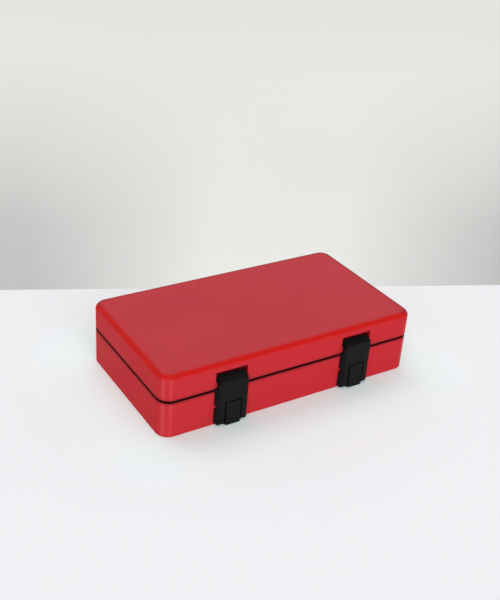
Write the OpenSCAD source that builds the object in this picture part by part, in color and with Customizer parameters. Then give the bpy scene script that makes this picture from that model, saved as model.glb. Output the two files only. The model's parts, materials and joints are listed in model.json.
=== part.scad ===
// Small hard case with a hinged lid, a rubber seal and two pull-to-release latches.
// Origin: centre of the underside of the base. +X along the case, -Y towards the latches, +Z up. Millimetres.

/* [Case] */
// Length of the case
case_l = 200; // [180:1:260]
// Depth of the case from front wall to back wall
case_w = 110.6; // [90:0.2:150]
// Height of the closed case
case_h = 46.4; // [45:0.2:60]
// Radius of the upright corners
corner_r = 9; // [6:0.5:14]
// Bevel around the top of the lid
top_bevel = 2.6; // [1:0.1:3.4]
// Thickness of the side walls
wall = 2.6; // [2.2:0.1:3.2]
// Thickness of the floor
floor_t = 2.6; // [1.6:0.1:4]
// Thickness of the top of the lid
roof_t = 2.6; // [1.6:0.1:3.4]
// Height of the rim of the base
rim_z = 26; // [25.8:0.1:27.5]

/* [Seal] */
// Height of the seal between the two rims
seal_h = 2; // [1:0.1:2.4]
// How far the seal lies behind the faces of the walls
seal_inset = 0.3; // [0.1:0.1:0.5]
// Width of the tongue that sits in the groove of the lid
tongue_w = 1.2; // [0.8:0.1:1.4]
// Height of that tongue
tongue_h = 0.8; // [0.5:0.1:1]
// Play around the tongue in its groove
tongue_gap = 0.1; // [0.05:0.01:0.2]

/* [Latches] */
// Distance of the middle of each latch from the end of the case
latch_end = 50; // [30:1:64]
// Width of the latch where its skirts meet the wall
latch_w = 25.2; // [24:0.2:28]
// How far the bevels narrow the flat front, on each side
latch_side_bevel = 2.6; // [1.8:0.1:3]
// Distance of the flat front from the wall
latch_front = 4; // [3.8:0.1:5]
// Thickness of the front of the latch
latch_skin = 1.3; // [1:0.1:1.5]
// Length of the latch from its pivot to its lower edge
latch_drop = 30.7; // [29.6:0.1:30.9]
// Height of the crease over the pivot
latch_crease = 2.3; // [1.8:0.1:2.6]
// Height of the upper end of the sloping top over the pivot
latch_top = 4.8; // [4.2:0.1:5]
// How far that upper end lies behind the pivot
latch_tip_in = 1.2; // [0.6:0.1:1.3]
// Size of the cut at each lower corner
latch_corner = 1; // [0.6:0.1:2]
// Height of the latch pivot over the rim of the lid
latch_pivot_up = 4; // [3.9:0.1:5]
// Depth of the latch pivot behind the wall
latch_pivot_in = 1; // [0.9:0.05:1.3]
// Diameter of the latch pin
latch_pin_d = 1.6; // [1.4:0.1:2]
// Radius of the knuckle around the latch pin
latch_knuckle_r = 2; // [1.7:0.1:2.1]
// Distance from the latch pivot down to where its shoulders are at full width
shoulder_down = 1.5; // [0.5:0.1:2.5]
// Distance from the latch pivot down to the upper ends of the skirts
skirt_down = 3.2; // [2.8:0.1:4.2]
// Height of the notches in the skirts
notch_h = 3; // [2.6:0.1:4]
// Depth of the notches from the wall
notch_d = 1.5; // [1:0.1:2.2]
// Distance from the trigger pin down to the middle of the notches
notch_down = 1; // [0:0.1:1]
// Gap between the skirts and the wall
skirt_gap = 0.15; // [0.1:0.05:0.4]

/* [Latch pockets] */
// Width of the pocket in the lid
pocket_w = 23.6; // [23:0.2:28]
// Height of the top of the pocket over the pivot
pocket_top = 8.2; // [7:0.1:9]
// Depth of the pocket
pocket_d = 6.2; // [6:0.1:7.5]
// Height of the two pin seats over the pivot
seat_top = 0.5; // [0.3:0.05:0.55]
// Width of each pin seat
seat_w = 1.1; // [0.9:0.1:1.6]
// Gap between the latch and the pin seats
seat_gap = 0.3; // [0.2:0.05:0.5]
// Thickness of the wall behind the pocket
pocket_wall = 2; // [1.4:0.1:2.6]
// Depth of the pocket floor under the pivot
pocket_low = 2.4; // [2.3:0.05:2.6]

/* [Triggers] */
// Width of the trigger
trigger_w = 11.2; // [9:0.1:12]
// Gap on each side of the trigger
trigger_gap = 0.9; // [0.4:0.05:1.2]
// Gap over the trigger
trigger_top_gap = 0.65; // [0.5:0.05:1]
// Length of the trigger over its own pivot
trigger_up = 2.3; // [1.8:0.1:3]
// Length of the trigger under its own pivot
trigger_down = 15.3; // [14.8:0.05:15.4]
// How far the upper end of the trigger stands out of the front of the latch
trigger_proud = 0.4; // [0:0.1:0.8]
// How much further its lower end stands out
trigger_flare = 0.6; // [0:0.1:1]
// Bevel along the two upright edges of the trigger
trigger_bevel = 0.5; // [0.2:0.1:0.8]
// Thickness of the face of the trigger
trigger_skin = 1.5; // [1.2:0.1:1.8]
// Thickness of the wider plate behind it
trigger_plate = 0.7; // [0.5:0.1:0.8]
// Distance from the latch pivot down to the trigger pivot
trigger_pivot_down = 16.4; // [16:0.1:16.5]
// Distance of the trigger pivot from the wall
trigger_pivot_out = 1.6; // [1.5:0.05:1.8]
// Diameter of the trigger pin
trigger_pin_d = 1.2; // [1:0.1:1.4]
// Radius of the barrel around the trigger pin
trigger_barrel_r = 1.35; // [1.2:0.05:1.4]
// Thickness of the ribs that carry the trigger pin
trigger_rib = 1.4; // [1:0.1:1.8]

/* [Catches] */
// Distance of the claw from the wall
claw_gap = 0.35; // [0.25:0.05:0.6]
// Width of the claw on the trigger
claw_w = 8; // [5:0.5:8]
// Thickness of the claw
claw_t = 1.4; // [1:0.1:1.8]
// Distance from the trigger pivot down to the top of the claw
claw_down = 11; // [10.5:0.1:12]
// Play between the claw and the lip over it
claw_play = 0.2; // [0.1:0.05:0.4]
// How far the lip of the strike stands out of the wall
lip_out = 1.6; // [1.3:0.05:1.7]
// Height of the lip of the strike
lip_h = 1.8; // [1.2:0.1:2.4]
// Width of the strike
strike_w = 10.4; // [9:0.2:11]
// Height of the strike
strike_h = 8.2; // [7.6:0.1:8.6]
// Thickness of the strike
strike_t = 1; // [0.8:0.1:1.1]
// Distance between the two screws of a strike
strike_pitch = 6; // [5:0.1:6.4]

/* [Hinges] */
// Distance of the middle of each hinge from the end of the case
hinge_end = 40; // [26:1:60]
// Width of a hinge
hinge_w = 24; // [20:0.5:32]
// Width of the middle knuckle
hinge_mid_w = 11.8; // [8:0.2:14]
// Gap between the knuckles
hinge_gap = 0.2; // [0.1:0.05:0.5]
// Diameter of the hinge pin
hinge_pin_d = 2; // [1.6:0.1:2.4]
// Radius of the knuckles
hinge_knuckle_r = 2.4; // [2:0.1:2.6]
// Distance of the hinge axis from the back wall
hinge_out = 2.7; // [2.7:0.05:3.2]
// Thickness of the hinge leaves
leaf_t = 1.2; // [1:0.1:1.4]
// Height of each hinge leaf from the axis to its edge
leaf_h = 13; // [12:0.1:14]
// Distance between the two screws of a leaf
leaf_pitch = 16; // [10:0.5:17]

/* [Screws] */
// Diameter of the hinge screws
screw_d = 2.2; // [1.8:0.1:2.6]
// Diameter of the heads of the hinge screws
screw_head_d = 4.2; // [3.6:0.1:4.6]
// Length of the hinge screws
screw_l = 5; // [4:0.1:5.2]
// Diameter of the strike screws
strike_screw_d = 1.6; // [1.4:0.1:1.8]
// Diameter of the heads of the strike screws
strike_head_d = 3; // [2.6:0.1:3.4]
// Length of the strike screws
strike_screw_l = 4.4; // [3.6:0.1:4.8]
// Thickness of the pads behind the screws
pad_t = 2; // [1.6:0.1:3]

/* [Fits] */
// Radial play between a pin and its bore
pin_play = 0.05; // [0.02:0.01:0.09]

/* [Hidden] */

red = "#c4303b";
black = "#232122";
seal_black = "#161415";
steel = "#b9bcc0";

eps = 0.01;
round_fn = 96;
pin_fn = 48;

latch_x = case_l / 2 - latch_end;
hinge_x = case_l / 2 - hinge_end;
lid_z = rim_z + seal_h;
pivot_z = lid_z + latch_pivot_up;
hinge_z = rim_z + seal_h / 2;
hinge_y = case_w / 2 + hinge_out;

// Half width of the latch where it enters the pocket between the two pin seats
neck_half = pocket_w / 2 - seat_w - seat_gap;
// Half width of the latch above its skirts
head_half = pocket_w / 2 - seat_gap;
// Half width of the slot that holds the trigger
slot_half = trigger_w / 2 + trigger_gap;
// Height of the upper end of that slot, from the latch pivot
slot_top = -trigger_pivot_down + trigger_up + trigger_top_gap;
// Rounded corner of the sloping top, as [distance from the side, distance behind the wall]
neck_corner = [[0, -0.3], [0.5, 0.9], [1.4, 1.8], [2.6, 2.3], [2.6, latch_pivot_in + latch_knuckle_r]];
// How far from the wall the latch has to stay where it passes the pin seats
seat_clear = 1.6;
notch_bottom = -trigger_pivot_down - notch_down - notch_h / 2;
// Half width over the two ribs that carry the trigger pin
rib_half = slot_half + trigger_rib;
claw_top = -trigger_pivot_down - claw_down;
lip_bottom = claw_top + claw_play;
screw_head_h = (screw_head_d - screw_d) / 2;
strike_head_h = (strike_head_d - strike_screw_d) / 2;
// Distance of the hinge leaves' inner edges from the axis
leaf_start = sqrt(pow(hinge_knuckle_r + 2 * hinge_gap, 2) - pow(hinge_out - leaf_t, 2));
leaf_screw = (leaf_start + leaf_h) / 2;
// Opening angle at which the stop on the lid leaf meets the base leaf
lid_stop = 110;
stop_r = hinge_knuckle_r + 1;
stop_angle = lid_stop - 180 + acos((hinge_out - leaf_t - hinge_gap / 2) / stop_r);

// ---------- shared shapes ----------

// Outline of the case, set in by d
module case_outline(d) {
    l = case_l - 2 * d;
    w = case_w - 2 * d;
    r = corner_r - d;
    square([l - 2 * r, w], center = true);
    square([l, w - 2 * r], center = true);
    for (sx = [-1, 1]) {
        for (sy = [-1, 1]) {
            translate([sx * (l / 2 - r), sy * (w / 2 - r)])
                circle(r = r, $fn = round_fn);
        }
    }
}

// Closed band between two outlines of the case
module case_band(outer, inner, h) {
    linear_extrude(height = h)
        difference() {
            case_outline(outer);
            case_outline(inner);
        }
}

// Slab whose four sides and four corners lean in at 45 degrees
module bevel_slab(c) {
    l = case_l / 2;
    w = case_w / 2;
    r = corner_r;
    rotate([90, 0, 90])
        linear_extrude(height = case_l - 2 * r, center = true)
            polygon([[-w, 0], [w, 0], [w - c, c], [-w + c, c]]);
    rotate([90, 0, 0])
        linear_extrude(height = case_w - 2 * r, center = true)
            polygon([[-l, 0], [l, 0], [l - c, c], [-l + c, c]]);
    for (sx = [-1, 1]) {
        for (sy = [-1, 1]) {
            translate([sx * (l - r), sy * (w - r), 0])
                cylinder(h = c, r1 = r, r2 = r - c, $fn = round_fn);
        }
    }
}

// Side view [distance in front of the wall, height] drawn out along X
module along_x(length) {
    rotate([90, 0, -90])
        linear_extrude(height = length, center = true)
            children();
}

// Round bar along X at [distance in front of the wall, height]
module bar_x(at, r, length) {
    translate([0, -at[0], at[1]])
        rotate([0, 90, 0])
            cylinder(h = length, r = r, center = true, $fn = pin_fn);
}

// Places the children at the wall behind a latch, level with its pivot
module at_latch(side) {
    translate([side * latch_x, -case_w / 2, pivot_z])
        children();
}

// Places the children on the axis of a hinge; their front faces away from the case
module at_hinge(side) {
    translate([side * hinge_x, hinge_y, hinge_z])
        rotate([0, 0, 180])
            children();
}

// Countersunk screw along -Z with its head flush at z = 0
module screw(d, head_d, head_h, length) {
    difference() {
        union() {
            translate([0, 0, -head_h])
                cylinder(h = head_h, r1 = d / 2, r2 = head_d / 2, $fn = pin_fn);
            translate([0, 0, -length])
                cylinder(h = length - head_h + eps, r = d / 2, $fn = pin_fn);
        }
        for (a = [0, 90]) {
            rotate([0, 0, a])
                cube([head_d * 0.56, head_d * 0.13, head_h], center = true);
        }
    }
}

// Room for such a screw
module screw_room(d, head_d, head_h, length) {
    translate([0, 0, -head_h])
        cylinder(h = head_h, r1 = d / 2 + pin_play, r2 = head_d / 2 + pin_play, $fn = pin_fn);
    translate([0, 0, -eps])
        cylinder(h = 1, r = head_d / 2 + pin_play, $fn = pin_fn);
    translate([0, 0, -length - tongue_gap])
        cylinder(h = length, r = d / 2 + pin_play, $fn = pin_fn);
}

// Places the children at the screws of both strikes, pointing into the wall
module at_strike_screws() {
    for (side = [-1, 1]) {
        for (s = [-1, 1]) {
            at_latch(side)
                translate([s * strike_pitch / 2, -strike_t, lip_bottom + strike_h / 2 + lip_h / 2])
                    rotate([90, 0, 0])
                        children();
        }
    }
}

// Places the children at the screws of the base leaves (up = -1) or the lid leaves (up = 1)
module at_hinge_screws(up) {
    for (side = [-1, 1]) {
        for (s = [-1, 1]) {
            at_hinge(side)
                translate([s * leaf_pitch / 2, hinge_out - leaf_t, up * leaf_screw])
                    rotate([90, 0, 0])
                        children();
        }
    }
}

// Pad on the inside of the back wall behind a hinge leaf
module hinge_pad(side, up) {
    at_hinge(side)
        translate([-hinge_w / 2, hinge_out + wall - eps, up > 0 ? leaf_start : -leaf_h])
            cube([hinge_w, pad_t + eps, leaf_h - leaf_start]);
}

// ---------- case ----------

module base_shell() {
    color(red)
        difference() {
            union() {
                difference() {
                    linear_extrude(height = rim_z)
                        case_outline(0);
                    translate([0, 0, floor_t])
                        linear_extrude(height = rim_z)
                            case_outline(wall);
                }
                for (side = [-1, 1]) {
                    hinge_pad(side, -1);
                    at_latch(side)
                        translate([-strike_w / 2, wall - eps, lip_bottom])
                            cube([strike_w, pad_t + eps, strike_h + strike_t]);
                }
            }
            at_strike_screws()
                screw_room(strike_screw_d, strike_head_d, strike_head_h, strike_screw_l);
            at_hinge_screws(-1)
                screw_room(screw_d, screw_head_d, screw_head_h, screw_l);
        }
}

// Room for the sloping top of a latch, with two seats for its pin
module latch_pocket(side) {
    at_latch(side) {
        translate([-pocket_w / 2, -1, seat_top])
            cube([pocket_w, pocket_d + 1, pocket_top - seat_top]);
        translate([-pocket_w / 2 + seat_w, -1, -pocket_low])
            cube([pocket_w - 2 * seat_w, pocket_d + 1, pocket_low + seat_top + eps]);
        bar_x([-latch_pivot_in, 0], latch_pin_d / 2 + pin_play, pocket_w);
    }
}

// Wall around the back of a latch pocket, inside the lid
module pocket_back(side) {
    at_latch(side)
        translate([-pocket_w / 2 - pocket_wall, wall - eps, -latch_pivot_up])
            cube([
                pocket_w + 2 * pocket_wall,
                pocket_d + pocket_wall - wall + eps,
                latch_pivot_up + pocket_top + pocket_wall
            ]);
}

module lid_shell() {
    bevel_z = case_h - top_bevel;
    groove = (wall - tongue_w) / 2 - tongue_gap;
    color(red)
        difference() {
            union() {
                difference() {
                    union() {
                        translate([0, 0, lid_z])
                            linear_extrude(height = bevel_z - lid_z)
                                case_outline(0);
                        translate([0, 0, bevel_z])
                            bevel_slab(top_bevel);
                    }
                    translate([0, 0, lid_z - 1])
                        linear_extrude(height = case_h - roof_t - lid_z + 1)
                            case_outline(wall);
                }
                for (side = [-1, 1]) {
                    hinge_pad(side, 1);
                    pocket_back(side);
                }
            }
            translate([0, 0, lid_z - 1])
                case_band(groove, wall - groove, tongue_h + tongue_gap + 1);
            for (side = [-1, 1]) {
                latch_pocket(side);
            }
            at_hinge_screws(1)
                screw_room(screw_d, screw_head_d, screw_head_h, screw_l);
        }
}

module lid_seal() {
    inset = (wall - tongue_w) / 2;
    color(seal_black) {
        translate([0, 0, rim_z])
            case_band(seal_inset, wall, seal_h);
        translate([0, 0, lid_z - eps])
            case_band(inset, wall - inset, tongue_h + eps);
    }
}

// ---------- latches ----------

// Plan of the latch below its pivot, set in by d: flat front, bevels, skirts down to the wall
module latch_plan(d) {
    skirt = latch_w / 2 - d * 1.1;
    shoulder = latch_w / 2 - latch_side_bevel * 0.45 - d;
    flat = latch_w / 2 - latch_side_bevel - d * 0.6;
    polygon([
        [-skirt, -skirt_gap],
        [-shoulder, -latch_front * 0.65],
        [-flat, -latch_front + d],
        [flat, -latch_front + d],
        [shoulder, -latch_front * 0.65],
        [skirt, -skirt_gap]
    ]);
}

// Outside of the latch without its knuckle
module latch_outside() {
    lower_bevel = latch_skin * 0.5;
    intersection() {
        along_x(latch_w)
            polygon([
                [skirt_gap, -latch_drop],
                [latch_front - lower_bevel, -latch_drop],
                [latch_front, -latch_drop + lower_bevel],
                [latch_front, latch_crease],
                [-latch_pivot_in - latch_tip_in, latch_top],
                [-latch_pivot_in - latch_knuckle_r, 0],
                [-latch_pivot_in, -pin_play],
                [skirt_gap, -latch_knuckle_r]
            ]);
        union() {
            translate([0, 0, -latch_drop])
                linear_extrude(height = latch_drop + latch_top)
                    latch_plan(0);
            translate([0, 0, -latch_knuckle_r])
                linear_extrude(height = latch_knuckle_r + latch_top)
                    polygon([
                        [-neck_half, -latch_front + latch_skin],
                        [neck_half, -latch_front + latch_skin],
                        for (p = neck_corner) [neck_half - p[0], p[1]],
                        for (i = [len(neck_corner) - 1:-1:0])
                            [neck_corner[i][0] - neck_half, neck_corner[i][1]]
                    ]);
        }
        // front view with tapered shoulders and the lower corners cut off
        rotate([90, 0, 0])
            linear_extrude(height = 4 * latch_front, center = true)
                polygon([
                    [-neck_half, latch_top],
                    [-neck_half, latch_crease],
                    [-head_half, -shoulder_down],
                    [-latch_w / 2, -skirt_down],
                    [-latch_w / 2, latch_corner - latch_drop],
                    [latch_corner - latch_w / 2, -latch_drop],
                    [latch_w / 2 - latch_corner, -latch_drop],
                    [latch_w / 2, latch_corner - latch_drop],
                    [latch_w / 2, -skirt_down],
                    [head_half, -shoulder_down],
                    [neck_half, latch_crease],
                    [neck_half, latch_top]
                ]);
    }
}

// Hollow back of the latch
module latch_hollow() {
    top = -latch_knuckle_r - latch_skin;
    bottom = -latch_drop + latch_skin;
    difference() {
        translate([0, 0, bottom])
            linear_extrude(height = top - bottom)
                union() {
                    latch_plan(latch_skin);
                    translate([-latch_w / 2 + latch_skin * 1.1, -skirt_gap - eps])
                        square([latch_w - latch_skin * 2.2, 1]);
                }
        translate([-rib_half, -latch_front, bottom - 1])
            cube([2 * rib_half, latch_front - skirt_gap - claw_gap, slot_top + trigger_rib - bottom + 1]);
    }
}

module latch(side) {
    color(black)
        at_latch(side)
            difference() {
                union() {
                    latch_outside();
                    bar_x([-latch_pivot_in, 0], latch_knuckle_r, 2 * neck_half - seat_gap);
                }
                latch_hollow();
                // slot for the trigger
                translate([-slot_half, -latch_front - 1, -latch_drop - 1])
                    cube([2 * slot_half, latch_front + 2, latch_drop + slot_top + 1]);
                // room for the two pin seats and for the sides of the pocket
                for (s = [-1, 1]) {
                    translate([s > 0 ? neck_half : -latch_w, -seat_clear, -skirt_down])
                        cube([latch_w - neck_half, seat_clear + latch_w, skirt_down + latch_top + 1]);
                    translate([s > 0 ? head_half : -latch_w, -latch_front - 1, -skirt_down])
                        cube([latch_w - head_half, latch_front + 1, skirt_down + latch_top + 1]);
                }
                // notches beside the trigger pin
                for (s = [-1, 1]) {
                    translate([s > 0 ? rib_half : -latch_w, -notch_d, notch_bottom])
                        cube([latch_w - rib_half, notch_d + 1, notch_h]);
                }
                bar_x([-latch_pivot_in, 0], latch_pin_d / 2 + pin_play, latch_w);
                bar_x([trigger_pivot_out, -trigger_pivot_down], trigger_pin_d / 2 + pin_play, latch_w);
            }
}

module latch_pin(side) {
    color(steel)
        at_latch(side)
            bar_x([-latch_pivot_in, 0], latch_pin_d / 2, pocket_w - seat_gap);
}

module trigger(side) {
    top_face = latch_front + trigger_proud;
    face = top_face + trigger_flare;
    back = top_face - trigger_skin;
    top = -trigger_pivot_down + trigger_up;
    bottom = -trigger_pivot_down - trigger_down;
    round_r = trigger_skin / 4;
    barrel_w = 2 * slot_half - seat_gap;
    color(black)
        at_latch(side)
            difference() {
                union() {
                    // face with a rounded lower edge and bevelled sides
                    intersection() {
                        along_x(trigger_w)
                            polygon([
                                [back, top],
                                [top_face, top],
                                [face, bottom + round_r],
                                [face - round_r, bottom],
                                [back, bottom]
                            ]);
                        translate([0, 0, bottom])
                            linear_extrude(height = trigger_up + trigger_down)
                                polygon([
                                    [-trigger_w / 2, -back],
                                    [-trigger_w / 2, -top_face + trigger_bevel],
                                    [-trigger_w / 2 + trigger_bevel, -face],
                                    [trigger_w / 2 - trigger_bevel, -face],
                                    [trigger_w / 2, -top_face + trigger_bevel],
                                    [trigger_w / 2, -back]
                                ]);
                    }
                    // plate that closes the slot behind the face
                    along_x(barrel_w)
                        polygon([
                            [back - trigger_plate, -trigger_pivot_down],
                            [back + eps, -trigger_pivot_down],
                            [back + eps, bottom],
                            [back - trigger_plate, bottom]
                        ]);
                    // barrel and the web that carries the face
                    bar_x([trigger_pivot_out, -trigger_pivot_down], trigger_barrel_r, barrel_w);
                    along_x(trigger_w)
                        polygon([
                            [trigger_pivot_out, -trigger_pivot_down - trigger_barrel_r],
                            [back + eps, -trigger_pivot_down - trigger_barrel_r],
                            [back + eps, -trigger_pivot_down + trigger_barrel_r],
                            [trigger_pivot_out, -trigger_pivot_down + trigger_barrel_r]
                        ]);
                    // claw that catches under the strike
                    along_x(claw_w)
                        polygon([
                            [claw_gap, claw_top],
                            [back + eps, claw_top],
                            [back + eps, claw_top - claw_t],
                            [claw_gap + claw_t / 2, claw_top - claw_t],
                            [claw_gap, claw_top - claw_t / 2]
                        ]);
                }
                bar_x([trigger_pivot_out, -trigger_pivot_down], trigger_pin_d / 2 + pin_play, barrel_w + 1);
            }
}

module trigger_pin(side) {
    color(steel)
        at_latch(side)
            bar_x([trigger_pivot_out, -trigger_pivot_down], trigger_pin_d / 2, 2 * rib_half);
}

module strike(side) {
    color(black)
        difference() {
            at_latch(side)
                along_x(strike_w)
                    polygon([
                        [0, lip_bottom],
                        [lip_out, lip_bottom],
                        [lip_out, lip_bottom + lip_h * 0.6],
                        [strike_t, lip_bottom + lip_h],
                        [strike_t, lip_bottom + strike_h],
                        [0, lip_bottom + strike_h]
                    ]);
            at_strike_screws()
                screw_room(strike_screw_d, strike_head_d, strike_head_h, strike_screw_l);
        }
}

module strike_screws() {
    color(steel)
        at_strike_screws()
            screw(strike_screw_d, strike_head_d, strike_head_h, strike_screw_l);
}

// ---------- hinges ----------

// Side view of a leaf that runs down from the axis, with the neck of its knuckle
module leaf_profile() {
    polygon([
        [-hinge_out, -leaf_h],
        [-hinge_out + leaf_t, -leaf_h],
        [-hinge_out + leaf_t, -leaf_start],
        [-hinge_out, -leaf_start]
    ]);
}

module neck_profile() {
    polygon([
        [-hinge_out, -leaf_start - leaf_t],
        [-hinge_out + leaf_t, -leaf_start - leaf_t],
        [hinge_knuckle_r * 0.7, -hinge_knuckle_r * 0.7],
        [-hinge_knuckle_r * 0.5, 0],
        [-hinge_out, -seal_h / 2 - hinge_gap]
    ]);
}

module hinge_base_leaf(side) {
    knuckle_w = (hinge_w - hinge_mid_w) / 2 - hinge_gap;
    color(black)
        difference() {
            at_hinge(side) {
                along_x(hinge_w)
                    leaf_profile();
                for (s = [-1, 1]) {
                    translate([s * (hinge_w - knuckle_w) / 2, 0, 0]) {
                        bar_x([0, 0], hinge_knuckle_r, knuckle_w);
                        along_x(knuckle_w)
                            neck_profile();
                    }
                }
            }
            at_hinge(side)
                bar_x([0, 0], hinge_pin_d / 2 + pin_play, hinge_w + 1);
            at_hinge_screws(-1)
                screw_room(screw_d, screw_head_d, screw_head_h, screw_l);
        }
}

module hinge_lid_leaf(side) {
    color(black)
        difference() {
            at_hinge(side) {
                mirror([0, 0, 1]) {
                    along_x(hinge_w)
                        leaf_profile();
                    along_x(hinge_mid_w)
                        neck_profile();
                }
                bar_x([0, 0], hinge_knuckle_r, hinge_mid_w);
                // stop that meets the base leaf when the lid is open
                along_x(hinge_mid_w)
                    polygon([
                        [0, 0],
                        [stop_r * cos(stop_angle), stop_r * sin(stop_angle)],
                        [stop_r * cos(stop_angle + 24), stop_r * sin(stop_angle + 24)],
                        [hinge_knuckle_r * cos(stop_angle + 48), hinge_knuckle_r * sin(stop_angle + 48)]
                    ]);
            }
            at_hinge(side)
                bar_x([0, 0], hinge_pin_d / 2 + pin_play, hinge_w + 1);
            at_hinge_screws(1)
                screw_room(screw_d, screw_head_d, screw_head_h, screw_l);
        }
}

module hinge_pin(side) {
    color(steel)
        at_hinge(side)
            bar_x([0, 0], hinge_pin_d / 2, hinge_w);
}

module hinge_screws(up) {
    color(steel)
        at_hinge_screws(up)
            screw(screw_d, screw_head_d, screw_head_h, screw_l);
}

base_shell();
lid_shell();
lid_seal();
latch(-1);  // latch_left
latch(1);  // latch_right
latch_pin(-1);  // latch_pin_left
latch_pin(1);  // latch_pin_right
trigger(-1);  // trigger_left
trigger(1);  // trigger_right
trigger_pin(-1);  // trigger_pin_left
trigger_pin(1);  // trigger_pin_right
strike(-1);  // strike_left
strike(1);  // strike_right
strike_screws();
hinge_base_leaf(-1);  // hinge_base_leaf_left
hinge_base_leaf(1);  // hinge_base_leaf_right
hinge_lid_leaf(-1);  // hinge_lid_leaf_left
hinge_lid_leaf(1);  // hinge_lid_leaf_right
hinge_pin(-1);  // hinge_pin_left
hinge_pin(1);  // hinge_pin_right
hinge_screws(-1);  // hinge_base_screws
hinge_screws(1);  // hinge_lid_screws
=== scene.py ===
# %% [markdown]
# # A small hard case for art supplies
# The case is two plastic shells with a rubber seal between them, two hinges at the
# back and two flip-up latches in front. The construction comes ready as a fixed
# frame of named parts, in metres, with Z up. This script dresses that frame: it
# rounds the edges that a mould leaves, gives each surface its finish, and lights
# the result.

# %% Load the frame
import json
import math
import bpy
import bmesh
from mathutils import Matrix, Vector


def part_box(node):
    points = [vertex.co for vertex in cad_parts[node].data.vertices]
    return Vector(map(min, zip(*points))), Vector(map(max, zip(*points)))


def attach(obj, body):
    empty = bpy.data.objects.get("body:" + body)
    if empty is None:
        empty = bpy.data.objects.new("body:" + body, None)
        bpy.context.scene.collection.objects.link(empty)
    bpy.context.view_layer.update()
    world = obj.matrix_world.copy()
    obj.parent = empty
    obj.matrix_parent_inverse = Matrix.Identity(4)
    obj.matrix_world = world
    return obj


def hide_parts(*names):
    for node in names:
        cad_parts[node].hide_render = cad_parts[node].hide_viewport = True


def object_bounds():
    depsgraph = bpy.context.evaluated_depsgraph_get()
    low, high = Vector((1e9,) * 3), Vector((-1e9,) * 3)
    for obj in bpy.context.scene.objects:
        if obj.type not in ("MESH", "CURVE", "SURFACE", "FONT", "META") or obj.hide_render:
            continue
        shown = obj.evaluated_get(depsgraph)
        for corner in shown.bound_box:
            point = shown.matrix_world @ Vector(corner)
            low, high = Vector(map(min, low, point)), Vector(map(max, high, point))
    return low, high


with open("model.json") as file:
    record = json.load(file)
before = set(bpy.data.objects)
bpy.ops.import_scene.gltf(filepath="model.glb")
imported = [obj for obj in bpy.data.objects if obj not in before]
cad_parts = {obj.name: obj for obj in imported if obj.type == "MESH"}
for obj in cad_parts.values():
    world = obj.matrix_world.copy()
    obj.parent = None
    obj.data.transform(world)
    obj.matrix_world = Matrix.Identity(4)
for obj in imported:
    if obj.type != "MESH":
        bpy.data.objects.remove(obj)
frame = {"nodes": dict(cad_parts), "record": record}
cad_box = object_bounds()
nodes = frame["nodes"]
body_of = {
    name: body
    for body, members in frame["record"]["behaviour"]["bodies"].items()
    for name in members
}
MM = 0.001

# %% [markdown]
# ## Sizes of the case
# The rounding, the seal and the finishes need to know where the walls, the bevel,
# the rims and the latch pockets lie. They could each be measured from the parts, but
# then every finish would start with a page of measuring. So the few sizes are written
# once, in millimetres, and the case's own box gives the two that it can.

# %% Sizes of the case
HALF_L, HALF_W, CASE_H = cad_box[1].x / MM, 55.3, cad_box[1].z / MM
CORNER = 9.0
BEVEL = 2.6
BEVEL_FOOT = CASE_H - BEVEL
RIM_BASE, RIM_LID = 26.0, 28.0
SEAL_MIDDLE = (RIM_BASE + RIM_LID) / 2
WALL = 2.6
POCKET_HALF, POCKET_DEPTH = 11.8, 6.2
print("half sizes and height (mm):", [round(v, 2) for v in (HALF_L, HALF_W, CASE_H)])

# %% [markdown]
# ## Camera
# The camera stands to the front left, about 60 cm off and 30 degrees up. It could be
# aimed with a Track To constraint, but the picture also leans a little, and a matrix
# built from three written directions holds that lean exactly.

# %% Camera
PICTURE_HEIGHT = 600
FOCAL_PIXELS = 940.83
SENSOR = 36
AZIMUTH, ELEVATION, LEAN = -0.58454, 0.50523, 0.07567
DISTANCE = 0.63007
AIM = Vector((-0.018666, -0.02201, 0.066668))

view_back = Vector((
    math.sin(AZIMUTH) * math.cos(ELEVATION),
    -math.cos(AZIMUTH) * math.cos(ELEVATION),
    math.sin(ELEVATION),
))
straight_right = Vector((math.cos(AZIMUTH), math.sin(AZIMUTH), 0))
straight_up = view_back.cross(straight_right)
view_right = straight_right * math.cos(LEAN) + straight_up * math.sin(LEAN)
view_up = straight_up * math.cos(LEAN) - straight_right * math.sin(LEAN)

camera_data = bpy.data.cameras.new("camera")
camera_data.sensor_width = SENSOR
camera_data.lens = FOCAL_PIXELS / PICTURE_HEIGHT * SENSOR
camera = bpy.data.objects.new("camera", camera_data)
scene = bpy.context.scene
scene.collection.objects.link(camera)
turned = Matrix((view_right, view_up, view_back)).transposed().to_4x4()
camera.matrix_world = Matrix.Translation(AIM + view_back * DISTANCE) @ turned
scene.camera = camera
print("camera lens: %.2f mm" % camera_data.lens)

# %% [markdown]
# ## Writing a finish as sums
# A finish is a small tree of shader nodes. Adding each Math node by hand hides what
# the tree means, so this class wraps one output of a node and turns Python's own
# signs into Math nodes: `1 - mask * 0.5` is then both the code and the tree. Every
# other node comes from `add`, which sets the node's choices first and its sockets
# after them.

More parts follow.
